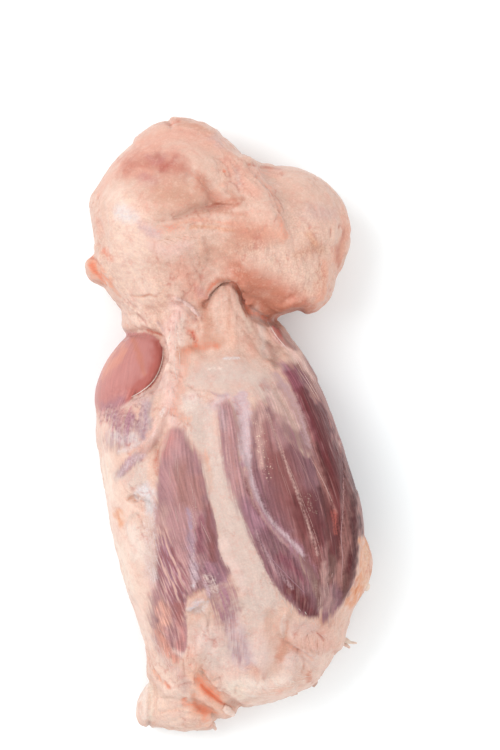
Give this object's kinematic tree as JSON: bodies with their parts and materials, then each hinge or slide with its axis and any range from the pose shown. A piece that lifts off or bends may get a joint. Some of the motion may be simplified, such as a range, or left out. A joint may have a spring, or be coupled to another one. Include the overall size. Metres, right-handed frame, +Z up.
{
  "type": "pork knuckle",
  "caption": "Raw skinned pork knuckle: a rounded fat cap folds over a narrow neck above a broad shank of seamed muscle and sinew, ending in a folded, ragged fat foot end",
  "frame": {"origin": "middle of the resting side's bounding box, on the table plane", "axes": "+Y from the foot end to the fat cap, +X to the right seen from above, +Z up out of the table"},
  "size_m": [0.1124, 0.2404, 0.0715],
  "materials": {
    "raw_meat": null
  },
  "bodies": {
    "root": {"knuckle": "raw_meat"}
  },
  "joints": []
}
